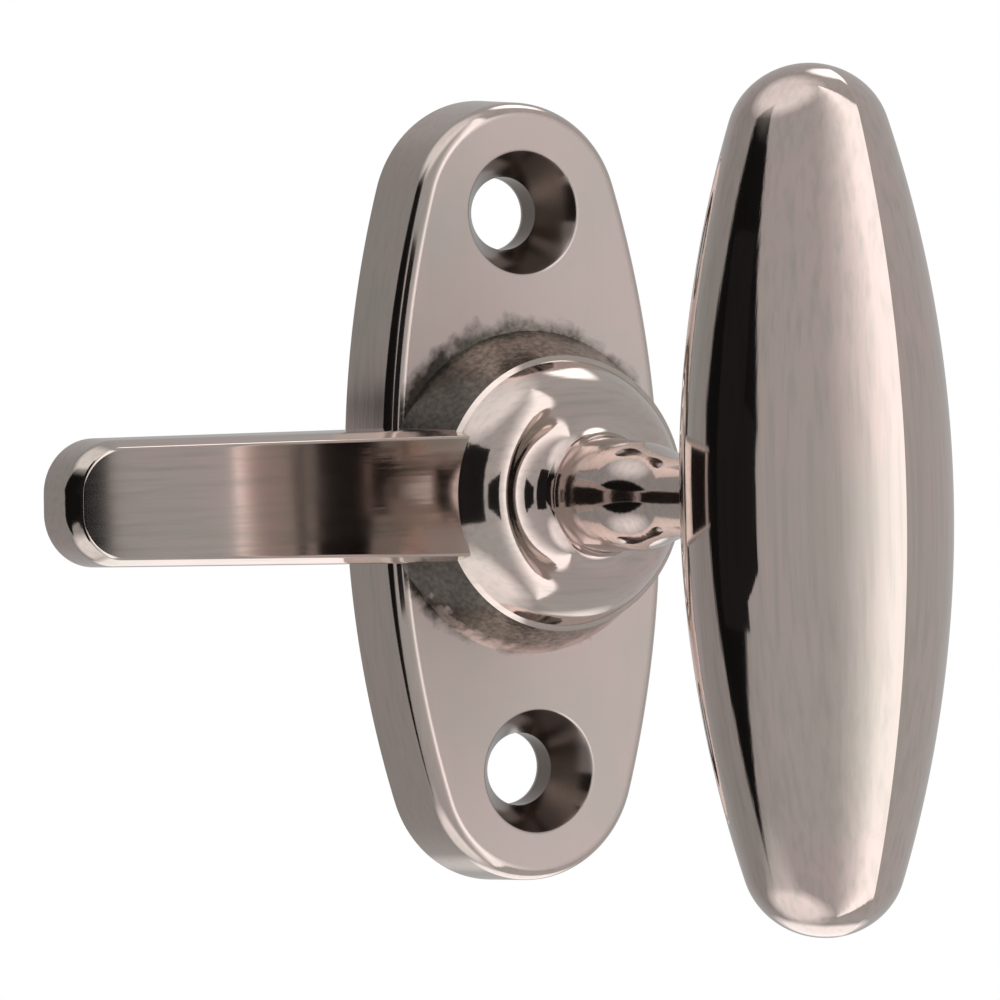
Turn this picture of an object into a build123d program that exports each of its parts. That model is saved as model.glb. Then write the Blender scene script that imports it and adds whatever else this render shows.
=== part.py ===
from build123d import *

import os
from math import atan2, cos, degrees, radians, sin, sqrt

# Casement window catch: an oval backplate with a turning tongue and an oval turn knob.
# The origin is on the spindle's axis at the plate's back face. +Z runs up the plate, the spindle
# points out of the wall along -Y, and the tongue points along -X. "Depth" below means the
# distance in front of the wall, so a depth of 9 is y = -9.

# Backplate casting
plate_height = 50.8
plate_width = 20.8
plate_end_radius = 7.8
plate_thickness = 5.9
plate_draft = 3.5             # degrees, the side wall leans in towards the front
plate_edge = 1.2              # radius of the soft front edge
back_wall = 2.2               # rim left round the hollow back
back_hollow = 1.4             # depth of the hollow

# Countersunk screw holes
screw_spacing = 36.0
screw_hole_radius = 2.36
countersink_radius = 4.0
countersink_angle = 64.0
countersink_edge = 0.2        # its mouth is worn round by the polishing

# Boss that the turning casting rides on
boss_radius = 8.5
boss_height = 3.9             # above the plate's face
boss_foot_radius = 10.4       # where its cone meets the plate's face

# Turning casting: hub and neck, heights are above the hub's back face
turn_at_rest = 1.2            # degrees, the catch stands a little off level
hub_radius = 8.8
hub_edge = 0.45               # height of the rounded rim
hub_foot_radius = 8.35        # foot of the hub's steep wall
hub_foot = 0.7
hub_top_radius = 7.25         # corner between that wall and the nearly flat top
hub_top = 3.2
hub_round = 1.2               # rounds that corner, and the top into the neck
neck_root_radius = 3.75
neck_root = 3.7
neck_waist_radius = 3.4       # the neck grows slimmer from here on
neck_waist = 10.0
neck_radius = 2.5
neck_start = 15.5             # start of the straight neck

# Tongue
tongue_reach = 34.85          # spindle axis to tip
tongue_root_width = 8.9
tongue_tip_width = 7.9
tongue_tip_radius = 2.8
tongue_thickness = 4.4
tongue_rise = 1.1             # hub's back face to the tongue's front face
tongue_draft = 1.5
tongue_edge_inset = 0.46      # worn front edge, measured along the face
tongue_edge_drop = 1.24       # and down the side
tongue_face_round = 0.25      # blends that edge into the face
tongue_side_round = 2.0       # and into the side
tongue_root_fillet = 0.3
tongue_relief = 0.5           # gap between its thick part and the boss

# Oval turn knob: two curved sides that meet in a crease at the front and the back
knob_turn = 0.4               # degrees, it is fixed on almost square to the tongue
knob_length = 52.2
knob_width = 15.6
knob_thickness = 20.0         # crease to crease
knob_tip_radius = 4.7
knob_depth = 40.6             # wall to the knob's centre line
knob_seat = 1.2               # the neck's end sits this deep in the knob
knob_stations = 8             # sections from its middle to each tip
stud_radius = 1.9
stud_length = 7.0
stud_clearance = 0.03

# Spindle, and what holds it behind the plate
journal_radius = 3.0
journal_clearance = 0.05
thrust_gap = 0.12             # hub's back face to the boss
counterbore_radius = 5.5
counterbore_depth = 4.6       # from the wall to the counterbore's floor
tenon_radius = 2.2
head_radius = 3.3
head_height = 0.9
washer_radius = 4.9
washer_thickness = 0.8
spring_outer_radius = 5.2
spring_inner_radius = 3.3
spring_thickness = 0.35
spring_height = 0.9           # over its bow
spring_gap = 0.1              # crown of the bow to the washer

# Worked out from the sizes above
boss_front = plate_thickness + boss_height
hub_back = boss_front + thrust_gap
washer_front = counterbore_depth - spring_height - spring_gap
washer_back = washer_front - washer_thickness
head_back = washer_back - head_height
rim_depth = hub_back + hub_edge
tongue_front = hub_back + tongue_rise
tongue_back = tongue_front - tongue_thickness
knob_seat_depth = knob_depth - knob_thickness / 2 + knob_seat
neck_depth = hub_back + neck_start
stud_end = knob_seat_depth + stud_length
tolerance = 0.01              # for picking edges and faces by their depth

# Sections are drawn with the radius to the right and the depth upwards.
section = Plane(origin=(0, 0, 0), x_dir=(1, 0, 0), z_dir=(0, 0, -1))
turned = Plane.XZ.rotated((0, turn_at_rest, 0))


def half_oval(half_length, half_width, end_radius):
    """Right half of an oval: two end arcs and the flat side arc that is tangent to both."""
    end_centre = half_length - end_radius
    side_radius = (end_centre**2 + half_width**2 - end_radius**2) / (2 * (half_width - end_radius))
    side_centre = half_width - side_radius
    side_angle = degrees(atan2(end_centre, -side_centre))
    CenterArc((0, -end_centre), end_radius, -90, 90 - side_angle)
    CenterArc((side_centre, 0), side_radius, -side_angle, 2 * side_angle)
    CenterArc((0, end_centre), end_radius, side_angle, 90 - side_angle)


with BuildSketch(Plane.XZ) as plate_outline:
    with BuildLine():
        half_oval(plate_height / 2, plate_width / 2, plate_end_radius)
        mirror(about=Plane.YZ)
    make_face()

# Plain oval slab with its draft and soft front edge
with BuildPart() as slab:
    extrude(plate_outline.sketch, amount=plate_thickness, taper=plate_draft)
    fillet(slab.faces().sort_by(Axis.Y)[0].edges(), radius=plate_edge)

# Backplate: the boss, a cone trimmed by the plate's side wall, then the slab and the holes
with BuildPart() as backplate:
    with BuildSketch(section):
        with BuildLine():
            Polyline((0, plate_thickness / 2), (0, boss_front), (boss_radius, boss_front),
                     (boss_foot_radius, plate_thickness), (boss_foot_radius, plate_thickness / 2),
                     close=True)
        make_face()
    revolve(axis=Axis.Y)
    extrude(plate_outline.sketch, amount=2 * boss_front, taper=plate_draft, mode=Mode.INTERSECT)
    add(slab.part)
    with BuildSketch(Plane.XZ):
        add(plate_outline.sketch)
        offset(amount=-back_wall, mode=Mode.REPLACE)
    extrude(amount=back_hollow, mode=Mode.SUBTRACT)
    with Locations(Plane.XZ.offset(plate_thickness)):
        with GridLocations(0, screw_spacing, 1, 2):
            CounterSinkHole(screw_hole_radius, countersink_radius, counter_sink_angle=countersink_angle)
    mouths = backplate.edges().filter_by(GeomType.CIRCLE)
    mouths = mouths.filter_by(lambda edge: abs(edge.radius - countersink_radius) < countersink_edge)
    fillet(mouths, radius=countersink_edge)
    with Locations(Plane.XZ.offset(boss_front)):
        Hole(journal_radius + journal_clearance)
    with BuildSketch(Plane.XZ):
        Circle(counterbore_radius)
    extrude(amount=counterbore_depth, mode=Mode.SUBTRACT)

# Tongue bar, before it joins the hub: tapered towards its tip, with a worn front edge, and cut
# away round the axis so that its thick part passes outside the boss
with BuildPart() as tongue_bar:
    with BuildSketch(turned.offset(tongue_back)) as tongue_outline:
        with BuildLine():
            Polyline((0, -tongue_root_width / 2), (0, tongue_root_width / 2),
                     (-tongue_reach, tongue_tip_width / 2), (-tongue_reach, -tongue_tip_width / 2),
                     close=True)
        make_face()
        fillet(tongue_outline.vertices(), radius=tongue_tip_radius)
    extrude(amount=tongue_thickness, taper=tongue_draft)
    tongue_face = tongue_bar.faces().sort_by(Axis.Y)[0]
    chamfer(tongue_face.edges(), length=tongue_edge_inset, length2=tongue_edge_drop, reference=tongue_face)
    fillet(tongue_bar.faces().sort_by(Axis.Y)[0].edges(), radius=tongue_face_round)
    side_top = tongue_edge_drop - tongue_front
    side_loop = tongue_bar.edges().filter_by_position(Axis.Y, side_top - tolerance, side_top + tolerance)
    fillet(side_loop, radius=tongue_side_round)
    with BuildSketch(section):
        with BuildLine():
            Polyline((0, 0), (0, hub_back), (boss_radius + tongue_relief, hub_back),
                     (boss_foot_radius + tongue_relief, plate_thickness),
                     (boss_foot_radius + tongue_relief, 0), close=True)
        make_face()
    revolve(axis=Axis.Y, mode=Mode.SUBTRACT)

# Turning casting: peened spindle end, journal, hub, neck and knob stud in one section,
# joined to the tongue, whose front face runs into the hub's wall with a fillet
with BuildPart() as latch_tongue:
    with BuildSketch(section):
        with BuildLine():
            TangentArc((0, head_back), (head_radius, washer_back), tangent=(1, 0))
            Polyline((head_radius, washer_back), (tenon_radius, washer_back),
                     (tenon_radius, washer_front), (journal_radius, washer_front),
                     (journal_radius, hub_back), (hub_radius - hub_edge, hub_back))
            TangentArc((hub_radius - hub_edge, hub_back), (hub_radius, rim_depth), tangent=(1, 0))
            Line((hub_radius, rim_depth), (hub_foot_radius, hub_back + hub_foot))
            FilletPolyline((hub_foot_radius, hub_back + hub_foot), (hub_top_radius, hub_back + hub_top),
                           (neck_root_radius, hub_back + neck_root),
                           (neck_waist_radius, hub_back + neck_waist), radius=hub_round)
            Spline((neck_waist_radius, hub_back + neck_waist), (neck_radius, neck_depth),
                   tangents=[(neck_waist_radius - neck_root_radius, neck_waist - neck_root), (0, 1)])
            Polyline((neck_radius, neck_depth), (neck_radius, knob_seat_depth),
                     (stud_radius, knob_seat_depth), (stud_radius, stud_end), (0, stud_end),
                     (0, head_back))
        make_face()
    revolve(axis=Axis.Y)
    add(tongue_bar.part)
    near_front = (-tongue_front - tolerance, -tongue_front + tolerance)
    root_edge = latch_tongue.edges().filter_by_position(Axis.Y, *near_front).sort_by(Axis.X)[-1]
    fillet(root_edge, radius=tongue_root_fillet)


def knob_share(height):
    """Width of the oval outline at a height above its middle, as a share of its full width."""
    half_width = knob_width / 2
    tip_centre = knob_length / 2 - knob_tip_radius
    side_radius = (tip_centre**2 + half_width**2 - knob_tip_radius**2) / (2 * (half_width - knob_tip_radius))
    side_centre = half_width - side_radius
    tangent_height = tip_centre * side_radius / (side_radius - knob_tip_radius)
    if height < tangent_height:
        return (side_centre + sqrt(side_radius**2 - height**2)) / half_width
    return sqrt(knob_tip_radius**2 - (height - tip_centre)**2) / half_width


# Turn knob: the same two-arc section from tip to tip, sized by the oval outline
fixed_on = Plane.XZ.rotated((0, knob_turn, 0))
level = Plane(origin=(0, -knob_depth, 0), x_dir=fixed_on.x_dir, z_dir=fixed_on.y_dir)
lower_tip, upper_tip = (Vertex(*level.offset(end * knob_length / 2).origin) for end in (-1, 1))
knob_sections = []
for station in range(1 - knob_stations, knob_stations):
    height = knob_length / 2 * sin(radians(90 * station / knob_stations))
    side = knob_width / 2 * knob_share(abs(height))
    crease = knob_thickness / 2 * knob_share(abs(height))
    with BuildSketch(level.offset(height)) as lens:
        with BuildLine():
            ThreePointArc((0, -crease), (side, 0), (0, crease))
            ThreePointArc((0, crease), (-side, 0), (0, -crease))
        make_face()
    knob_sections.append(lens.sketch)

# with a seat and a socket for the neck's end
with BuildPart() as oval_knob:
    loft(sections=[lower_tip, *knob_sections, upper_tip])
    with BuildSketch(turned.offset(knob_seat_depth)):
        Circle(neck_radius + stud_clearance)
    extrude(amount=-2 * knob_seat, mode=Mode.SUBTRACT)
    with BuildSketch(turned.offset(knob_seat_depth)):
        Circle(stud_radius + stud_clearance)
    extrude(amount=stud_length + knob_seat, mode=Mode.SUBTRACT)

# Flat washer that the spindle's end is peened over
with BuildPart() as retaining_washer:
    with BuildSketch(Plane.XZ.offset(washer_back)):
        Circle(washer_radius)
        Circle(tenon_radius, mode=Mode.SUBTRACT)
    extrude(amount=washer_thickness)

# Curved spring washer: a ring bent about the upright axis, ends on the floor, crown to the wall
with BuildPart() as spring_washer:
    with BuildSketch(Plane.XZ.offset(washer_front)):
        Circle(spring_outer_radius)
        Circle(spring_inner_radius, mode=Mode.SUBTRACT)
    extrude(amount=counterbore_depth - washer_front)
    with BuildSketch(section):
        with BuildLine():
            end_front = (spring_outer_radius, counterbore_depth)
            end_back = (spring_outer_radius, counterbore_depth - spring_thickness)
            crown_back = (0, counterbore_depth - spring_height)
            crown_front = (0, counterbore_depth - spring_height + spring_thickness)
            ThreePointArc((-end_front[0], end_front[1]), crown_front, end_front)
            Line(end_front, end_back)
            ThreePointArc(end_back, crown_back, (-end_back[0], end_back[1]))
            Line((-end_back[0], end_back[1]), (-end_front[0], end_front[1]))
        make_face()
    extrude(amount=spring_outer_radius, both=True, mode=Mode.INTERSECT)

backplate.part.label = "backplate"
latch_tongue.part.label = "latch_tongue"
oval_knob.part.label = "oval_knob"
retaining_washer.part.label = "retaining_washer"
spring_washer.part.label = "spring_washer"

os.makedirs("parts", exist_ok=True)
for piece in (backplate, latch_tongue, oval_knob, retaining_washer, spring_washer):
    export_step(piece.part, f"parts/{piece.part.label}.step")
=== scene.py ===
from math import atan2, cos, pi, radians, sin, tan

import bpy
from mathutils import Matrix, Vector


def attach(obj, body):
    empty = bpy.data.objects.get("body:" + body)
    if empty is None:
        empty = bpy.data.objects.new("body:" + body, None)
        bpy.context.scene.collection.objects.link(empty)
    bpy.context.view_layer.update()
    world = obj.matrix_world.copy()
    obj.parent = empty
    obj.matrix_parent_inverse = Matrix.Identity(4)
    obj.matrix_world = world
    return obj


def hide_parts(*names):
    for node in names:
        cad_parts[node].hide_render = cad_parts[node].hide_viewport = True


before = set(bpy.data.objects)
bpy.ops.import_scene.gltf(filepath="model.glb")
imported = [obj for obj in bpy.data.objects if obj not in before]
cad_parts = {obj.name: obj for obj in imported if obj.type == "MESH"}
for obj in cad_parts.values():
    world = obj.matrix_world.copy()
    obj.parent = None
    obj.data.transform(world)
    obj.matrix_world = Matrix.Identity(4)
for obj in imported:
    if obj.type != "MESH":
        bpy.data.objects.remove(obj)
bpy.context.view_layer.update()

mm = 0.001

# all lengths below are in millimetres, and a depth is measured out of the wall, towards the viewer
clockwise = (0, -1, 0)  # seen from the front, for spin
upwards = (0, 0, 1)
intoWall = (0, 1, 0)
turnAtRest = radians(1.2)  # the catch stands a little off level
plateFront = 5.9
bossFront = 9.8
hubBack = 9.92
weldReach = 0.002


def clearSelection():
    if bpy.context.object and bpy.context.object.mode != "OBJECT":
        bpy.ops.object.mode_set(mode="OBJECT")
    bpy.ops.object.select_all(action="DESELECT")


def pickOnly(piece):
    clearSelection()
    piece.select_set(True)
    bpy.context.view_layer.objects.active = piece


def startPoint(name, place):
    # a small plane pulled together into the one point that an outline is drawn from
    clearSelection()
    bpy.ops.mesh.primitive_plane_add(size=mm, location=[value * mm for value in place])
    piece = bpy.context.object
    piece.name = name
    bpy.ops.object.transform_apply(location=True, rotation=True, scale=True)
    bpy.ops.object.mode_set(mode="EDIT")
    bpy.ops.mesh.select_mode(type="VERT")
    bpy.ops.mesh.select_all(action="SELECT")
    bpy.ops.mesh.merge(type="CENTER")
    return piece


def drawLine(step):
    bpy.ops.mesh.extrude_region_move(TRANSFORM_OT_translate={"value": [value * mm for value in step]})


def drawArc(centre, axis, angle, steps):
    bpy.ops.mesh.spin(steps=steps, angle=angle, center=[value * mm for value in centre], axis=axis)


def weld(reach=weldReach):
    bpy.ops.mesh.select_all(action="SELECT")
    bpy.ops.mesh.remove_doubles(threshold=reach * mm)
    bpy.ops.mesh.select_all(action="SELECT")


def faceOutwards():
    weld()
    bpy.ops.mesh.normals_make_consistent(inside=False)


def finishMesh():
    faceOutwards()
    bpy.ops.object.mode_set(mode="OBJECT")


def turnedShape(name, profile, steps, place=(0, 0, 0)):
    # a section of (radius, depth) corners, revolved about an axis that points out of the wall
    x, depth = profile[0]
    piece = startPoint(name, (place[0] + x, place[1] - depth, place[2]))
    for nextX, nextDepth in profile[1:]:
        drawLine((nextX - x, depth - nextDepth, 0))
        x, depth = nextX, nextDepth
    bpy.ops.mesh.select_all(action="SELECT")
    drawArc(place, intoWall, 2 * pi, steps)
    finishMesh()
    return piece


def facePlane():
    # fills the outline just drawn, with its face towards the front
    weld()
    bpy.ops.mesh.edge_face_add()
    bpy.ops.object.mode_set(mode="OBJECT")
    facesBack = bpy.context.object.data.polygons[0].normal.y > 0
    bpy.ops.object.mode_set(mode="EDIT")
    if facesBack:
        bpy.ops.mesh.flip_normals()
    bpy.ops.mesh.select_mode(type="FACE")
    bpy.ops.mesh.select_all(action="SELECT")


def riseAlong(profile):
    # carries the selected face up through (inset, height) corners, ring by ring
    inset, height = profile[0]
    for nextInset, nextHeight in profile[1:]:
        bpy.ops.mesh.inset(thickness=(nextInset - inset) * mm, depth=(nextHeight - height) * mm)
        inset, height = nextInset, nextHeight


def closeBack():
    bpy.ops.mesh.select_mode(type="EDGE")
    bpy.ops.mesh.select_all(action="DESELECT")
    bpy.ops.mesh.select_non_manifold()
    bpy.ops.mesh.edge_face_add()
    bpy.ops.mesh.select_mode(type="FACE")


def roundCorner(before, corner, after, radius, steps):
    # points of the arc that rounds a section's corner; before and after only give the two directions
    toBefore = (Vector(before) - Vector(corner)).normalized()
    toAfter = (Vector(after) - Vector(corner)).normalized()
    halfAngle = toBefore.angle(toAfter) / 2
    middle = Vector(corner) + (toBefore + toAfter).normalized() * radius / sin(halfAngle)
    first = Vector(corner) + toBefore * radius / tan(halfAngle) - middle
    last = Vector(corner) + toAfter * radius / tan(halfAngle) - middle
    sweep = first.angle(last)
    points = []
    for step in range(steps + 1):
        share = step / steps
        mix = first * sin((1 - share) * sweep) + last * sin(share * sweep)
        points.append(tuple(middle + mix / sin(sweep)))
    return points


def cubic(start, startPull, endPull, end, steps):
    # points of a cubic curve after its start, for a flowing outline
    corners = (start, startPull, endPull, end)
    points = []
    for step in range(1, steps + 1):
        t = step / steps
        weights = ((1 - t) ** 3, 3 * t * (1 - t) ** 2, 3 * t * t * (1 - t), t**3)
        points.append(tuple(sum(weight * corner[axis] for weight, corner in zip(weights, corners))
                            for axis in (0, 1)))
    return points


def ovalArcs(halfLength, halfWidth, endRadius):
    # an oval of two end arcs and two side arcs that flow into each other
    endCentre = halfLength - endRadius
    sideRadius = (endCentre**2 + halfWidth**2 - endRadius**2) / (2 * (halfWidth - endRadius))
    sideCentre = halfWidth - sideRadius
    return endCentre, sideCentre, atan2(endCentre, -sideCentre)


def joinWith(piece, tool, how):
    pickOnly(piece)
    cut = piece.modifiers.new(how.lower(), "BOOLEAN")
    cut.operation = how
    cut.object = tool
    cut.solver = "MANIFOLD"
    bpy.ops.object.modifier_apply(modifier=cut.name)
    bpy.data.objects.remove(tool)


def finishPiece(piece, body, node, material, smoothAngle=30):
    pickOnly(piece)
    bpy.ops.object.shade_smooth_by_angle(angle=radians(smoothAngle), keep_sharp_edges=False)
    even = piece.modifiers.new("evenShading", "WEIGHTED_NORMAL")
    even.keep_sharp = True
    bpy.ops.object.modifier_apply(modifier=even.name)
    piece.data.materials.clear()
    piece.data.materials.append(material)
    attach(piece, body)
    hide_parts(node)
    print(piece.name, "made:", len(piece.data.polygons), "faces")


# nickel plate over cast brass, its streaks drawn out along one axis of the piece (0 is X, 2 is Z)
knobFinish = {
    "warm": (0.70, 0.565, 0.53),
    "cool": (0.62, 0.555, 0.50),
    "roughness": (0.04, 0.09),
    "smudge": 9.0,
    "toneRange": (0.35, 0.65),
    "streakAlong": 26.0,
    "streakAcross": 0.4,
    "streakAxis": 2,
    "streakTone": 0.1,
    "streakRange": (0.45, 0.75),
    "streakDepth": 0.004,
    "glossStreak": 0.4,
    "glossRange": (0.45, 0.95),
    "waveDepth": 0.05,
    "waveSize": 6.0,
    "pitSpacing": 6.5,
    "pitRadius": 0.16,
    "pitShare": 0.32,
    "pitDepth": 0.10,
    "pitStain": 0.6,
    "pitColour": (0.12, 0.10, 0.09),
}
catchFinish = {
    **knobFinish,
    "roughness": (0.06, 0.13),
    "streakAxis": 0,
    "streakAlong": 7.0,
    "waveDepth": 0.02,
    "pitSpacing": 4.5,
    "pitShare": 0.3,
}
plateFinish = {
    **knobFinish,
    "roughness": (0.08, 0.14),
    "streakAlong": 20.0,
    "streakTone": 0.06,
    "streakDepth": 0.002,
    "waveDepth": 0.02,
    "pitSpacing": 5.5,
    "pitRadius": 0.13,
    "pitShare": 0.25,
}
washerFinish = {
    **knobFinish,
    "warm": (0.60, 0.47, 0.27),
    "cool": (0.50, 0.40, 0.24),
    "roughness": (0.3, 0.45),
    "streakTone": 0.2,
    "pitShare": 0.1,
}
springFinish = {
    **knobFinish,
    "warm": (0.22, 0.22, 0.24),
    "cool": (0.12, 0.12, 0.14),
    "roughness": (0.3, 0.5),
    "streakTone": 0.2,
    "pitShare": 0.1,
}


def mathNode(tree, operation, first, second=0.0, third=0.0):
    node = tree.nodes.new("ShaderNodeMath")
    node.operation = operation
    for socket, value in zip(node.inputs, (first, second, third)):
        if isinstance(value, (int, float)):
            socket.default_value = value
        else:
            tree.links.new(value, socket)
    return node.outputs[0]


def rangeNode(tree, value, low, high, toLow, toHigh):
    node = tree.nodes.new("ShaderNodeMapRange")
    tree.links.new(value, node.inputs["Value"])
    for socket, number in zip(("From Min", "From Max", "To Min", "To Max"), (low, high, toLow, toHigh)):
        if isinstance(number, (int, float)):
            node.inputs[socket].default_value = number
        else:
            tree.links.new(number, node.inputs[socket])
    return node.outputs[0]


def mixColour(tree, share, first, second):
    node = tree.nodes.new("ShaderNodeMix")
    node.data_type = "RGBA"
    tree.links.new(share, node.inputs["Factor"])
    for socket, colour in (("A", first), ("B", second)):
        if isinstance(colour, tuple):
            node.inputs[socket].default_value = (*colour, 1)
        else:
            tree.links.new(colour, node.inputs[socket])
    return node.outputs["Result"]


def noiseNode(tree, vector, size, detail):
    node = tree.nodes.new("ShaderNodeTexNoise")
    node.inputs["Scale"].default_value = 1 / (size * mm)
    node.inputs["Detail"].default_value = detail
    tree.links.new(vector, node.inputs["Vector"])
    return node.outputs["Fac"]


def bumpNode(tree, height, depth, before=None):
    node = tree.nodes.new("ShaderNodeBump")
    node.inputs["Distance"].default_value = depth * mm
    tree.links.new(height, node.inputs["Height"])
    if before:
        tree.links.new(before, node.inputs["Normal"])
    return node.outputs["Normal"]


def layOver(tree, mask, surface, colour, roughness):
    # a second colour and roughness over the first ones, where the mask is 1
    return mixColour(tree, mask, surface[0], colour), rangeNode(tree, mask, 0, 1, surface[1], roughness)


def satinFace(tree, parts, surface, tone, streak, wearAndShade):
    # the flat face is worn to a satin
    satin = rangeNode(tree, parts["Y"], -wearAndShade["satinFrom"] * mm, -wearAndShade["satinFull"] * mm, 0, 1)
    worn = mixColour(tree, tone, wearAndShade["satinWarm"], wearAndShade["satinCool"])
    worn = mixColour(tree, mathNode(tree, "MULTIPLY", streak, wearAndShade["satinStreak"]), worn, wearAndShade["castLightAndShade"])
    return layOver(tree, satin, surface, worn, wearAndShade["satinRoughness"])


def sinkDarkening(tree, parts, across, surface, wearAndShade):
    # darker in the countersinks, and not on the plate's back
    fromMiddle = mathNode(tree, "SUBTRACT", mathNode(tree, "ABSOLUTE", parts["Z"]), wearAndShade["sinkPlace"] * mm)
    fromScrew = mathNode(tree, "SQRT", mathNode(tree, "MULTIPLY_ADD", fromMiddle, fromMiddle, across))
    full = wearAndShade["sinkRadius"] - wearAndShade["sinkSoft"]
    sink = rangeNode(tree, fromScrew, wearAndShade["sinkRadius"] * mm, full * mm, 0, wearAndShade["sinkDarkShare"])
    inFront = mathNode(tree, "LESS_THAN", parts["Y"], -wearAndShade["sinkDepth"] * mm)
    sink = mathNode(tree, "MULTIPLY", sink, inFront)
    return layOver(tree, sink, surface, wearAndShade["sinkColour"], wearAndShade["castRoughness"])


def castBossAndShade(tree, place, parts, across, surface, normal, wearAndShade):
    # the boss is left rough from the mould, with a ragged edge where the polishing stopped; its dark colour
    # is partly painted shade around the hub's foot
    radius = mathNode(tree, "SQRT", mathNode(tree, "MULTIPLY_ADD", parts["Z"], parts["Z"], across))
    grain = noiseNode(tree, place, wearAndShade["castGrain"], detail=5)
    ragged = noiseNode(tree, place, wearAndShade["raggedSize"], detail=6)
    upLeft = mathNode(tree, "SUBTRACT", parts["Z"], parts["X"])
    edge = mathNode(tree, "MULTIPLY_ADD", upLeft, wearAndShade["castLean"], wearAndShade["castOuter"] * mm)
    wander = mathNode(tree, "SUBTRACT", ragged, 0.5)
    edge = mathNode(tree, "MULTIPLY_ADD", wander, wearAndShade["castRagged"] * 2 * mm, edge)
    inside = mathNode(tree, "SUBTRACT", edge, radius)
    fadeFrom, fadeFull = wearAndShade["castFade"]
    castAndShadeZone = rangeNode(tree, inside, fadeFrom * mm, fadeFull * mm, 0, 1)
    raised = mathNode(tree, "LESS_THAN", parts["Y"], -wearAndShade["castFrom"] * mm)
    beyond = mathNode(tree, "GREATER_THAN", radius, wearAndShade["castInner"] * mm)
    castAndShadeZone = mathNode(tree, "MULTIPLY", castAndShadeZone, mathNode(tree, "MULTIPLY", raised, beyond))

    # the cast skin's grain, in dark tones that are partly painted shade
    light = rangeNode(tree, grain, *wearAndShade["grainRange"], 0, 1)
    skinAndShade = mixColour(tree, light, wearAndShade["castDarkAndShade"], wearAndShade["castLightAndShade"])
    # painted shade beside the tongue, darker and darker towards it across
    shadeFrom, shadeFull = wearAndShade["paintedShadeReach"]
    paintedShade = rangeNode(tree, parts["X"], shadeFrom * mm, shadeFull * mm, 0, wearAndShade["paintedShadeShare"])
    skinAndShade = mixColour(tree, paintedShade, skinAndShade, wearAndShade["paintedShadeColour"])
    normal = bumpNode(tree, mathNode(tree, "MULTIPLY", grain, castAndShadeZone), wearAndShade["castBump"], normal)
    return layOver(tree, castAndShadeZone, surface, skinAndShade, wearAndShade["castRoughness"]), normal


def polishedNickel(name, look, wearAndShade=None):
    material = bpy.data.materials.new(name)
    material.use_nodes = True
    tree = material.node_tree
    shader = tree.nodes["Principled BSDF"]
    shader.inputs["Metallic"].default_value = 1.0
    place = tree.nodes.new("ShaderNodeTexCoord").outputs["Object"]

    # smudges in tone and gloss, and fine streaks from the polishing
    smudge = noiseNode(tree, place, look["smudge"], detail=4)
    stretch = tree.nodes.new("ShaderNodeVectorMath")
    stretch.operation = "MULTIPLY"
    tree.links.new(place, stretch.inputs[0])
    thin = look["streakAlong"] / look["streakAcross"]
    stretch.inputs[1].default_value = [1 if axis == look["streakAxis"] else thin for axis in range(3)]
    streak = noiseNode(tree, stretch.outputs[0], look["streakAlong"], detail=3)
    tone = rangeNode(tree, smudge, *look["toneRange"], 0, 1)
    colour = mixColour(tree, tone, look["warm"], look["cool"])
    darker = tuple(part * (1 - look["streakTone"]) for part in look["cool"])
    colour = mixColour(tree, rangeNode(tree, streak, *look["streakRange"], 0, 1), colour, darker)
    gloss = mathNode(tree, "MULTIPLY_ADD", streak, look["glossStreak"], smudge)
    roughness = rangeNode(tree, gloss, *look["glossRange"], *look["roughness"])

    # small pits
    cells = tree.nodes.new("ShaderNodeTexVoronoi")
    cells.inputs["Scale"].default_value = 1 / (look["pitSpacing"] * mm)
    tree.links.new(place, cells.inputs["Vector"])
    chance = tree.nodes.new("ShaderNodeSeparateColor")
    tree.links.new(cells.outputs["Color"], chance.inputs[0])
    chosen = mathNode(tree, "LESS_THAN", chance.outputs[0], look["pitShare"])
    reach = mathNode(tree, "MULTIPLY", chance.outputs[1], 2 * look["pitRadius"] / look["pitSpacing"])
    pit = mathNode(tree, "MULTIPLY", chosen, rangeNode(tree, cells.outputs["Distance"], 0, reach, 1, 0))
    colour = mixColour(tree, mathNode(tree, "MULTIPLY", pit, look["pitStain"]), colour, look["pitColour"])

    wave = noiseNode(tree, place, look["waveSize"], detail=0)
    normal = bumpNode(tree, wave, look["waveDepth"])
    normal = bumpNode(tree, streak, look["streakDepth"], normal)
    normal = bumpNode(tree, mathNode(tree, "MULTIPLY", pit, -1), look["pitDepth"], normal)

    surface = (colour, roughness)
    if wearAndShade:
        split = tree.nodes.new("ShaderNodeSeparateXYZ")
        tree.links.new(place, split.inputs[0])
        parts = split.outputs
        across = mathNode(tree, "POWER", parts["X"], 2)
        surface = satinFace(tree, parts, surface, tone, streak, wearAndShade)
        surface = sinkDarkening(tree, parts, across, surface, wearAndShade)
        surface, normal = castBossAndShade(tree, place, parts, across, surface, normal, wearAndShade)

    tree.links.new(surface[0], shader.inputs["Base Color"])
    tree.links.new(surface[1], shader.inputs["Roughness"])
    tree.links.new(normal, shader.inputs["Normal"])
    return material


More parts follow.
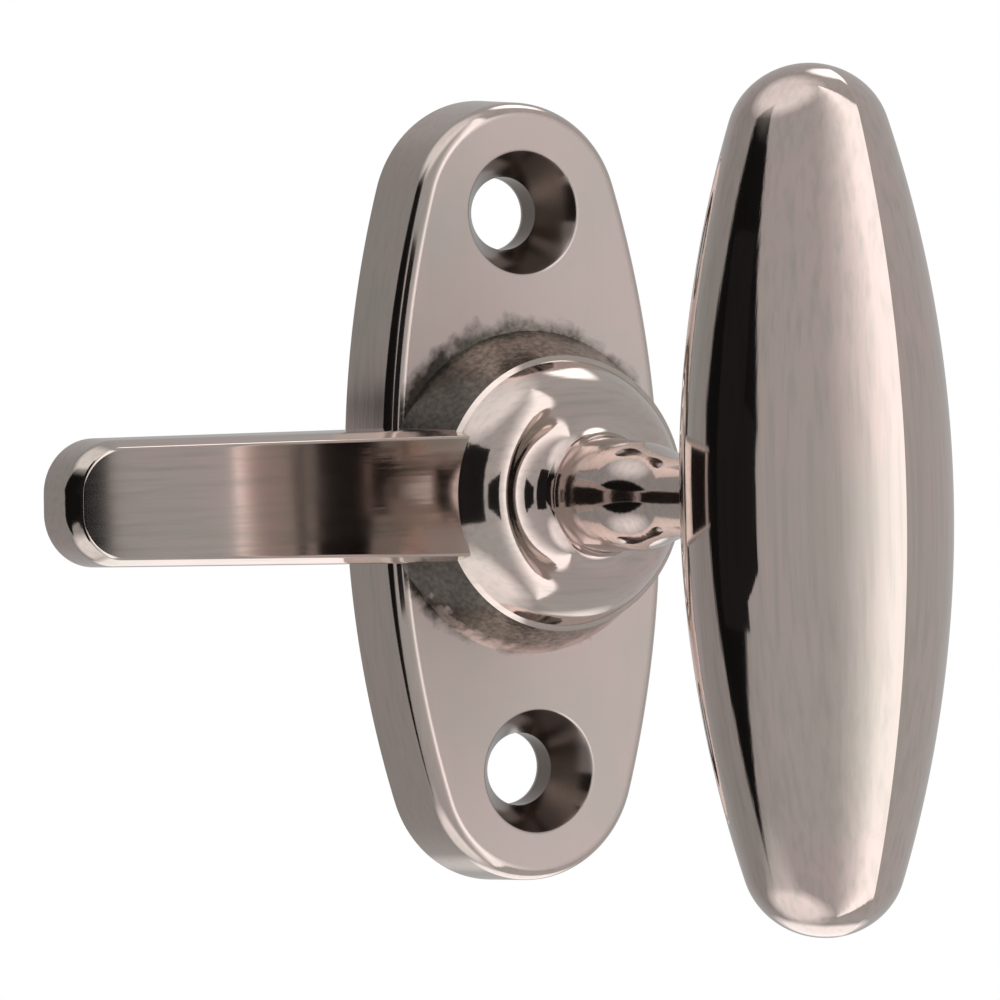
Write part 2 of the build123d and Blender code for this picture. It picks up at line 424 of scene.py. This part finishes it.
# backplate
plate = {
    "height": 50.8,
    "width": 20.8,
    "endRadius": 7.8,
    "draft": radians(3.5),
    # front edge: (slope in degrees where the arc ends, radius), from the side wall to the flat face
    "edge": [(60, 1.8), (30, 1.2), (0, 0.5)],
    "backWall": 2.2,
    "backHollow": 1.4,
    "screwSpacing": 36.0,
    "screwRadius": 2.36,
    "sinkRadius": 4.0,
    "sinkAngle": radians(64),
    "sinkEdge": 0.2,
    "bossRadius": 8.5,
    "bossFoot": 10.4,
    "bossBack": 3.0,
    "trimFront": 12.0,
    "boreRadius": 3.05,
    "counterboreRadius": 5.5,
    "counterboreDepth": 4.6,
    # the cutters reach past the faces that they open
    "screwCutFront": 8.0,
    "boreCutFront": 10.0,
    "cutBack": -1.0,
    "endSteps": 30,
    "sideSteps": 70,
    "edgeSteps": 8,
    "holeSteps": 128,
    "roundSteps": 160,
}
plateWearAndShade = {
    # the satin comes in between these two depths
    "satinFrom": 5.8,
    "satinFull": 5.87,
    "satinWarm": (0.88, 0.72, 0.68),
    "satinCool": (0.80, 0.71, 0.66),
    "satinStreak": 0.06,
    "satinRoughness": 0.36,
    "sinkPlace": plate["screwSpacing"] / 2,
    "sinkRadius": 4.1,
    "sinkSoft": 0.25,
    "sinkDepth": 1.6,
    "sinkDarkShare": 0.68,
    "sinkColour": (0.11, 0.09, 0.08),
    # the cast skin lies between two radii, leans out to the upper left and wanders at its outer edge; its
    # dark colour is partly painted shade around the hub's foot
    "castInner": 8.3,
    "castOuter": 10.5,
    "castLean": 0.05,
    "castRagged": 1.1,
    "raggedSize": 1.3,
    "castFade": (-0.4, 0.5),
    "castFrom": 5.75,
    "castGrain": 0.35,
    "grainRange": (0.35, 0.75),
    "castDarkAndShade": (0.20, 0.175, 0.15),
    "castLightAndShade": (0.50, 0.44, 0.38),
    "castRoughness": 0.2,
    "castBump": 0.01,
    # painted shade beside the tongue, more and more between these places across
    "paintedShadeReach": (-1.0, -6.5),
    "paintedShadeShare": 0.85,
    "paintedShadeColour": (0.035, 0.03, 0.027),
}


def drawPlateOutline(name, sizes):
    top = sizes["height"] / 2
    endCentre, sideCentre, sideAngle = ovalArcs(top, sizes["width"] / 2, sizes["endRadius"])
    tipAngle = pi / 2 - sideAngle
    piece = startPoint(name, (0, 0, top))
    drawArc((0, 0, endCentre), clockwise, tipAngle, sizes["endSteps"])
    drawArc((sideCentre, 0, 0), clockwise, 2 * sideAngle, sizes["sideSteps"])
    drawArc((0, 0, -endCentre), clockwise, 2 * tipAngle, 2 * sizes["endSteps"])
    drawArc((-sideCentre, 0, 0), clockwise, 2 * sideAngle, sizes["sideSteps"])
    drawArc((0, 0, endCentre), clockwise, tipAngle, sizes["endSteps"])
    facePlane()
    return piece


def edgeArcs(wallAngle, arcs, top, steps):
    # (inset, height) corners of a drafted wall that turns over into a level face
    slope = wallAngle
    inset, height = 0, 0
    points = []
    for endDegrees, radius in arcs:
        end = radians(endDegrees)
        for step in range(1, steps + 1):
            angle = slope + (end - slope) * step / steps
            points.append((inset + radius * (sin(slope) - sin(angle)),
                           height + radius * (cos(angle) - cos(slope))))
        inset, height = points[-1]
        slope = end
    start = top - height
    shift = start / tan(wallAngle)
    return [(shift, start)] + [(x + shift, y + start) for x, y in points]


def makeBoss(sizes):
    # a cone trimmed to the plate's side wall
    foot = sizes["bossFoot"]
    back = sizes["bossBack"]
    boss = turnedShape("boss", [(0, bossFront), (sizes["bossRadius"], bossFront), (foot, plateFront),
                                (foot, back), (0, back)], sizes["roundSteps"])
    trim = drawPlateOutline("trim", sizes)
    riseAlong([(0, 0), (sizes["trimFront"] * tan(sizes["draft"]), sizes["trimFront"])])
    closeBack()
    finishMesh()
    joinWith(boss, trim, "INTERSECT")
    return boss


def screwCutter(sizes, side):
    # a countersunk hole with a worn mouth
    mouth = sizes["sinkRadius"]
    screw = sizes["screwRadius"]
    slope = sizes["sinkAngle"] / 2
    downCone = (mouth - sin(slope), plateFront - cos(slope))
    worn = roundCorner((mouth + 1, plateFront), (mouth, plateFront), downCone, sizes["sinkEdge"],
                       sizes["edgeSteps"])
    coneDeep = plateFront - (mouth - screw) / tan(slope)
    front = sizes["screwCutFront"]
    profile = [(0, front), (worn[0][0], front), *worn, (screw, coneDeep), (screw, sizes["cutBack"]),
               (0, sizes["cutBack"])]
    return turnedShape("screwHole", profile, sizes["holeSteps"], (0, 0, side * sizes["screwSpacing"] / 2))


def boreCutter(sizes):
    bore = sizes["boreRadius"]
    wide = sizes["counterboreRadius"]
    step = sizes["counterboreDepth"]
    profile = [(0, sizes["boreCutFront"]), (bore, sizes["boreCutFront"]), (bore, step), (wide, step),
               (wide, sizes["cutBack"]), (0, sizes["cutBack"])]
    return turnedShape("bore", profile, sizes["holeSteps"])


def makePlate(sizes):
    piece = drawPlateOutline("backPlate", sizes)
    riseAlong([(0, 0), *edgeArcs(pi / 2 - sizes["draft"], sizes["edge"], plateFront, sizes["edgeSteps"])])
    closeBack()
    bpy.ops.mesh.inset(thickness=sizes["backWall"] * mm, depth=0)
    drawLine((0, -sizes["backHollow"], 0))
    finishMesh()
    joinWith(piece, makeBoss(sizes), "UNION")
    for side in (1, -1):
        joinWith(piece, screwCutter(sizes, side), "DIFFERENCE")
    joinWith(piece, boreCutter(sizes), "DIFFERENCE")
    return piece


platePiece = makePlate(plate)
finishPiece(platePiece, "plate", "backplate", polishedNickel("plateNickel", plateFinish, plateWearAndShade))

# turn knob
knob = {
    "turn": radians(0.4),
    "length": 52.2,
    "width": 15.6,
    "thickness": 20.0,
    "tipRadius": 4.7,
    "depth": 40.6,
    "sideSteps": 90,
    "tipSteps": 26,
    "roundSteps": 72,
    "ringWeld": 0.0005,
}


def knobStations(sizes):
    # (half width, height) of each level section, from the upper tip to the lower one
    tip = sizes["tipRadius"]
    halfWidth = sizes["width"] / 2
    endCentre, sideCentre, sideAngle = ovalArcs(sizes["length"] / 2, halfWidth, tip)
    sideRadius = halfWidth - sideCentre
    tipStep = (pi / 2 - sideAngle) / sizes["tipSteps"]
    upper = [(tip * sin(step * tipStep), endCentre + tip * cos(step * tipStep))
             for step in range(1, sizes["tipSteps"])]
    sideStep = 2 * sideAngle / sizes["sideSteps"]
    angles = [sideAngle - step * sideStep for step in range(sizes["sideSteps"] + 1)]
    side = [(sideCentre + sideRadius * cos(angle), sideRadius * sin(angle)) for angle in angles]
    lower = [(width, -height) for width, height in reversed(upper)]
    return upper + side + lower


def makeKnob(sizes):
    # every level section is the same two-arc lens, its size following the oval outline
    stations = knobStations(sizes)
    top = sizes["length"] / 2
    depth = sizes["depth"]
    halfWidth = sizes["width"] / 2
    halfDepth = sizes["thickness"] / 2
    arcCentre = (halfDepth**2 - halfWidth**2) / (2 * halfWidth)
    arcAngle = 2 * atan2(halfDepth, arcCentre)
    width, height = stations[0]
    share = width / halfWidth
    piece = startPoint("ovalKnob", (0, -depth - halfDepth * share, height))
    drawArc((arcCentre * share, -depth, height), upwards, arcAngle, sizes["roundSteps"])
    drawArc((-arcCentre * share, -depth, height), upwards, arcAngle, sizes["roundSteps"])
    weld(sizes["ringWeld"])
    bpy.ops.mesh.select_mode(type="EDGE")
    bpy.ops.mesh.select_all(action="SELECT")
    for nextWidth, nextHeight in stations[1:]:
        drawLine((0, 0, nextHeight - height))
        grow = nextWidth / width
        bpy.ops.transform.resize(value=(grow, grow, 1), center_override=(0, -depth * mm, nextHeight * mm))
        width, height = nextWidth, nextHeight

    # the last ring and then the first one are drawn together into the tips
    drawLine((0, 0, -top - height))
    bpy.ops.mesh.merge(type="CENTER")
    bpy.ops.mesh.select_all(action="DESELECT")
    bpy.ops.mesh.select_non_manifold()
    drawLine((0, 0, top - stations[0][1]))
    bpy.ops.mesh.merge(type="CENTER")
    faceOutwards()
    bpy.ops.transform.rotate(value=-sizes["turn"], orient_axis="Y", center_override=(0, 0, 0))
    bpy.ops.object.mode_set(mode="OBJECT")
    return piece


knobPiece = makeKnob(knob)
finishPiece(knobPiece, "catch", "oval_knob", polishedNickel("knobNickel", knobFinish), 20)

# turning casting
catch = {
    "hubRadius": 8.8,
    "hubEdge": 0.3,
    # (radius, height above the hub's back face)
    "hubFoot": (8.48, 0.45),
    "domeStart": (7.95, 1.6),
    "domeEnd": (7.0, 3.25),
    "domeTop": (5.7, 3.42),
    "rootRound": 2.4,
    "neckRoot": (3.75, 3.7),
    "neckWaist": (3.4, 10.0),
    "neckStart": (2.5, 15.5),
    "neckPull": 2.0,
    "seatDepth": 31.8,
    "journalRadius": 3.0,
    "tenonRadius": 2.2,
    "headRadius": 3.3,
    "headBack": 1.9,
    "washerBack": 2.8,
    "washerFront": 3.6,
    "edgeSteps": 8,
    "domeSteps": 28,
    "neckSteps": 24,
    "roundSteps": 192,
}
tongue = {
    "reach": 34.85,
    "rootWidth": 8.9,
    "tipWidth": 7.9,
    "tipRadius": 3.4,
    "thickness": 4.4,
    "rise": 1.1,
    "draft": radians(1.5),
    "edgeInset": 0.46,
    "edgeDrop": 1.24,
    "faceRound": 0.25,
    "sideRound": 2.0,
    "relief": 0.5,
    "reliefAbove": 0.01,
    "tipSteps": 24,
    "sideSteps": 10,
    "faceSteps": 6,
}


def makeCatch(sizes):
    foot, domeStart, domeEnd, top, root, waist, neck = [
        (sizes[name][0], hubBack + sizes[name][1])
        for name in ("hubFoot", "domeStart", "domeEnd", "domeTop", "neckRoot", "neckWaist", "neckStart")]
    steps = sizes["edgeSteps"]
    quarter = [step / steps * pi / 2 for step in range(1, steps + 1)]

    # peened head behind the washer, tenon and journal
    headRise = sizes["washerBack"] - sizes["headBack"]
    head = [(sizes["headRadius"] * sin(angle), sizes["washerBack"] - headRise * cos(angle))
            for angle in quarter]
    spindle = [(sizes["tenonRadius"], sizes["washerBack"]), (sizes["tenonRadius"], sizes["washerFront"]),
               (sizes["journalRadius"], sizes["washerFront"]), (sizes["journalRadius"], hubBack)]

    # hub with a rounded shoulder, hollow at the neck's root, and neck up to the knob's seat
    edgeStart = sizes["hubRadius"] - sizes["hubEdge"]
    edge = [(sizes["hubRadius"] - sizes["hubEdge"] * (1 - sin(angle)),
             hubBack + sizes["hubEdge"] * (1 - cos(angle))) for angle in quarter]
    dome = cubic(foot, domeStart, domeEnd, top, sizes["domeSteps"])
    hollow = roundCorner(top, root, waist, sizes["rootRound"], sizes["neckSteps"])
    pull = (Vector(waist) - Vector(root)).normalized() * sizes["neckPull"]
    taper = cubic(waist, tuple(Vector(waist) + pull), (neck[0], neck[1] - sizes["neckPull"]), neck,
                  sizes["neckSteps"])
    profile = [(0, sizes["headBack"]), *head, *spindle, (edgeStart, hubBack), *edge, foot, *dome[:-1],
               *hollow, waist, *taper, (neck[0], sizes["seatDepth"]), (0, sizes["seatDepth"])]
    return turnedShape("latchTongue", profile, sizes["roundSteps"])


def turned(x, depth, z):
    # a place on the catch, given as if it stood level
    across = x * cos(turnAtRest) + z * sin(turnAtRest)
    up = z * cos(turnAtRest) - x * sin(turnAtRest)
    return (across, -depth, up)


def drawTongueOutline(sizes):
    root = sizes["rootWidth"] / 2
    tip = sizes["tipWidth"] / 2
    reach = sizes["reach"]
    corner = sizes["tipRadius"]
    backFace = hubBack + sizes["rise"] - sizes["thickness"]
    lean = atan2(root - tip, reach)
    centreX = corner - reach
    centreZ = tip + corner * tan(lean) - corner / cos(lean)
    edgeX = centreX - corner * sin(lean)
    edgeZ = centreZ + corner * cos(lean)
    piece = startPoint("tongueBar", turned(0, backFace, -root))
    drawLine(Vector(turned(edgeX, 0, -edgeZ)) - Vector(turned(0, 0, -root)))
    drawArc(turned(centreX, backFace, -centreZ), clockwise, pi / 2 - lean, sizes["tipSteps"])
    drawLine(Vector(turned(-reach, 0, centreZ)) - Vector(turned(-reach, 0, -centreZ)))
    drawArc(turned(centreX, backFace, centreZ), clockwise, pi / 2 - lean, sizes["tipSteps"])
    drawLine(Vector(turned(0, 0, root)) - Vector(turned(edgeX, 0, edgeZ)))
    facePlane()
    return piece


def makeTongue(sizes, boss):
    piece = drawTongueOutline(sizes)
    full = sizes["thickness"]
    slope = tan(sizes["draft"])
    side = ((full - sizes["edgeDrop"]) * slope, full - sizes["edgeDrop"])
    face = (full * slope + sizes["edgeInset"], full)
    riseAlong([(0, 0), *roundCorner((0, 0), side, face, sizes["sideRound"], sizes["sideSteps"]),
               *roundCorner(side, face, (face[0] + 1, full), sizes["faceRound"], sizes["faceSteps"])])
    closeBack()
    finishMesh()

    # its thick part passes outside the boss
    under = hubBack + sizes["reliefAbove"]
    wide = boss["bossRadius"] + sizes["relief"]
    foot = boss["bossFoot"] + sizes["relief"]
    profile = [(0, under), (wide, under), (foot, plateFront), (foot, 0), (0, 0)]
    joinWith(piece, turnedShape("relief", profile, boss["roundSteps"]), "DIFFERENCE")
    return piece


catchPiece = makeCatch(catch)
joinWith(catchPiece, makeTongue(tongue, plate), "UNION")
finishPiece(catchPiece, "catch", "latch_tongue", polishedNickel("catchNickel", catchFinish))

# the washers behind the plate keep their solids
washers = {
    "retaining_washer": ("washerBrass", washerFinish),
    "spring_washer": ("springSteel", springFinish),
}
for node, (materialName, finish) in washers.items():
    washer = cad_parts[node]
    washer.data.materials.clear()
    washer.data.materials.append(polishedNickel(materialName, finish))
print("washers finished")

# camera, at the photograph's angle; the focal length is in pixels of its image
view = {
    "azimuth": radians(-28.99),
    "height": radians(1.988),
    "roll": radians(-1.66),
    "aim": (0, -18, 0),
    "aside": 7.876,
    "above": -0.076,
    "distance": 400.0,
    "nearest": 10.0,
    "focal": 6376.5,
    "imageWidth": 1000,
    "sensor": 36,
}


def placeCamera(sizes):
    back = Vector((sin(sizes["azimuth"]) * cos(sizes["height"]),
                   -cos(sizes["azimuth"]) * cos(sizes["height"]), sin(sizes["height"])))
    levelRight = Vector(upwards).cross(back).normalized()
    levelUp = back.cross(levelRight)
    right = levelRight * cos(sizes["roll"]) + levelUp * sin(sizes["roll"])
    up = levelUp * cos(sizes["roll"]) - levelRight * sin(sizes["roll"])
    target = Vector(sizes["aim"]) - levelRight * sizes["aside"] + levelUp * sizes["above"]
    place = Matrix.Translation((target + back * sizes["distance"]) * mm)
    clearSelection()
    bpy.ops.object.camera_add()
    camera = bpy.context.object
    camera.matrix_world = place @ Matrix((right, up, back)).transposed().to_4x4()
    camera.data.sensor_width = sizes["sensor"]
    camera.data.lens = sizes["focal"] / sizes["imageWidth"] * sizes["sensor"]
    camera.data.clip_start = sizes["nearest"] * mm
    bpy.context.scene.camera = camera
    print("camera placed")


placeCamera(view)

# studio: white world, pale floor, and a round tent that only reflections and light see
studio = {
    "floorHeight": -430.0,
    "floorRadius": 3000.0,
    "floorWhite": 0.8,
    "floorGlow": 0.62,
    "floorRoughness": 0.9,
    "tentRadius": 420.0,
    # azimuth in degrees (0 in front, positive to the right) and brightness there
    "tentLight": [(-180, 0.42), (-163, 0.35), (-146, 0.33), (-92, 0.47), (-46, 0.5), (-37, 0.56),
                  (-28, 0.74), (-19, 0.97), (-7, 1.45), (0, 1.55), (14, 1.5), (18, 0.45), (57, 0.5),
                  (124, 0.5), (160, 0.45), (180, 0.42)],
    "tentBrightest": 2.0,
    # lamps above and below, behind the object: azimuth, height, radius, softness, brightness
    "lamps": [(125, 56, 9, 6, 1.8), (150, -50, 16, 8, 0.9),
              (-120, 62, 20, 14, 0.6), (-120, -58, 18, 14, 0.7)],
    # black cards at the left: two opposite corners
    "flags": {
        "sideFlag": ((-46, -7, -15), (-45, -31, 31)),
        "frontFlag": ((-45, -39, -8), (-19.7, -38, 8)),
    },
    "flagGlow": 0.015,
}
# a dark opening in the tent at the left, its sizes in degrees
opening = {
    "azimuth": -117,
    "height": 5,
    "halfWidth": 26,
    "reachUp": 42,
    "reachDown": 33,
    "softness": 0.1,
    "lean": 0.2,
    "glow": 0.02,
}


def makeWorld():
    world = bpy.data.worlds.new("whiteRoom")
    bpy.context.scene.world = world
    world.use_nodes = True
    sky = world.node_tree.nodes["Background"]
    sky.inputs["Color"].default_value = (1, 1, 1, 1)
    sky.inputs["Strength"].default_value = 1.0
    bpy.context.scene.view_settings.view_transform = "Standard"


def seenDirectly(tree, strength):
    # strength where the camera, a reflection or a look through sees it, and none as light on the object
    path = tree.nodes.new("ShaderNodeLightPath").outputs
    seen = mathNode(tree, "MAXIMUM", path["Is Camera Ray"], path["Is Glossy Ray"])
    seen = mathNode(tree, "MAXIMUM", seen, path["Is Transmission Ray"])
    return mathNode(tree, "MULTIPLY", seen, strength)


def makeFloor(sizes):
    clearSelection()
    bpy.ops.mesh.primitive_circle_add(vertices=96, radius=sizes["floorRadius"] * mm, fill_type="NGON",
                                      location=(0, 0, sizes["floorHeight"] * mm))
    floor = bpy.context.object
    floor.name = "floor"
    material = bpy.data.materials.new("paleFloor")
    material.use_nodes = True
    tree = material.node_tree
    shader = tree.nodes["Principled BSDF"]
    shader.inputs["Base Color"].default_value = (*[sizes["floorWhite"]] * 3, 1)
    shader.inputs["Roughness"].default_value = sizes["floorRoughness"]
    shader.inputs["Specular IOR Level"].default_value = 0
    shader.inputs["Emission Color"].default_value = (1, 1, 1, 1)
    tree.links.new(seenDirectly(tree, sizes["floorGlow"]), shader.inputs["Emission Strength"])
    floor.data.materials.append(material)


def glowMaterial(name):
    material = bpy.data.materials.new(name)
    material.use_nodes = True
    tree = material.node_tree
    tree.nodes.remove(tree.nodes["Principled BSDF"])
    glow = tree.nodes.new("ShaderNodeEmission")
    tree.links.new(glow.outputs[0], tree.nodes["Material Output"].inputs["Surface"])
    return material, glow


def lightByAzimuth(tree, azimuth, points, brightest):
    # brightness straight between the points, which go once round the object
    share = mathNode(tree, "MULTIPLY_ADD", azimuth, 1 / 360, 0.5)
    node = tree.nodes.new("ShaderNodeFloatCurve")
    curve = node.mapping.curves[0]
    for degree, height in points[1:-1]:
        curve.points.new((degree + 180) / 360, height / brightest)
    curve.points[0].location = (0, points[0][1] / brightest)
    curve.points[-1].location = (1, points[-1][1] / brightest)
    for point in curve.points:
        point.handle_type = "VECTOR"
    node.mapping.update()
    tree.links.new(share, node.inputs["Value"])
    return mathNode(tree, "MULTIPLY", node.outputs[0], brightest)


def outsideOpening(tree, azimuth, height, sizes):
    # 1 outside the opening and nearly 0 inside
    over = mathNode(tree, "SUBTRACT", height, sizes["height"])
    middle = mathNode(tree, "MULTIPLY_ADD", over, sizes["lean"], sizes["azimuth"])
    aside = mathNode(tree, "ABSOLUTE", mathNode(tree, "SUBTRACT", azimuth, middle))
    aside = mathNode(tree, "DIVIDE", aside, sizes["halfWidth"])
    above = mathNode(tree, "DIVIDE", mathNode(tree, "MAXIMUM", over, 0), sizes["reachUp"])
    below = mathNode(tree, "DIVIDE", mathNode(tree, "MINIMUM", over, 0), -sizes["reachDown"])
    away = mathNode(tree, "ADD", aside, mathNode(tree, "ADD", above, below))
    bright = mathNode(tree, "MULTIPLY_ADD", away, 1 / sizes["softness"], -1 / sizes["softness"])
    return mathNode(tree, "MAXIMUM", mathNode(tree, "MINIMUM", bright, 1), sizes["glow"])


def lampShare(tree, place, tentRadius, lampAzimuth, lampHeight, radius, softness):
    # 1 inside the lamp's disc, and 0 past its soft edge
    turn = radians(lampAzimuth)
    rise = radians(lampHeight)
    aim = tree.nodes.new("ShaderNodeVectorMath")
    aim.operation = "DOT_PRODUCT"
    tree.links.new(place, aim.inputs[0])
    aim.inputs[1].default_value = (sin(turn) * cos(rise), -cos(turn) * cos(rise), sin(rise))
    cosine = mathNode(tree, "DIVIDE", aim.outputs["Value"], tentRadius * mm)
    off = mathNode(tree, "DEGREES", mathNode(tree, "ARCCOSINE", mathNode(tree, "MINIMUM", cosine, 1)))
    share = mathNode(tree, "MULTIPLY_ADD", off, -1 / softness, (radius + softness) / softness)
    return mathNode(tree, "MAXIMUM", mathNode(tree, "MINIMUM", share, 1), 0)


def makeTent(sizes, openingSizes):
    clearSelection()
    bpy.ops.mesh.primitive_uv_sphere_add(segments=96, ring_count=48, radius=sizes["tentRadius"] * mm)
    tent = bpy.context.object
    tent.name = "lightTent"
    material, glow = glowMaterial("tentGlow")
    tree = material.node_tree
    place = tree.nodes.new("ShaderNodeTexCoord").outputs["Object"]
    split = tree.nodes.new("ShaderNodeSeparateXYZ")
    tree.links.new(place, split.inputs[0])
    forwards = mathNode(tree, "MULTIPLY", split.outputs["Y"], -1)
    azimuth = mathNode(tree, "DEGREES", mathNode(tree, "ARCTAN2", split.outputs["X"], forwards))
    sine = mathNode(tree, "DIVIDE", split.outputs["Z"], sizes["tentRadius"] * mm)
    height = mathNode(tree, "DEGREES", mathNode(tree, "ARCSINE", sine))
    light = lightByAzimuth(tree, azimuth, sizes["tentLight"], sizes["tentBrightest"])
    light = mathNode(tree, "MULTIPLY", light, outsideOpening(tree, azimuth, height, openingSizes))
    for *lamp, brightness in sizes["lamps"]:
        share = lampShare(tree, place, sizes["tentRadius"], *lamp)
        light = mathNode(tree, "MULTIPLY_ADD", share, brightness, light)
    tree.links.new(light, glow.inputs["Strength"])
    tent.data.materials.append(material)
    tent.visible_camera = False


def makeFlag(name, corner, opposite, strength):
    # a black card that the camera itself doesn't see
    clearSelection()
    bpy.ops.mesh.primitive_cube_add(size=1)
    flag = bpy.context.object
    flag.name = name
    flag.location = [(low + high) / 2 * mm for low, high in zip(corner, opposite)]
    flag.scale = [abs(high - low) * mm for low, high in zip(corner, opposite)]
    bpy.ops.object.transform_apply(location=True, rotation=True, scale=True)
    material, glow = glowMaterial(name + "Black")
    glow.inputs["Strength"].default_value = strength
    flag.data.materials.append(material)
    flag.visible_camera = False


makeWorld()
makeFloor(studio)
makeTent(studio, opening)
for flagName, (corner, opposite) in studio["flags"].items():
    makeFlag(flagName, corner, opposite, studio["flagGlow"])
print("studio made")
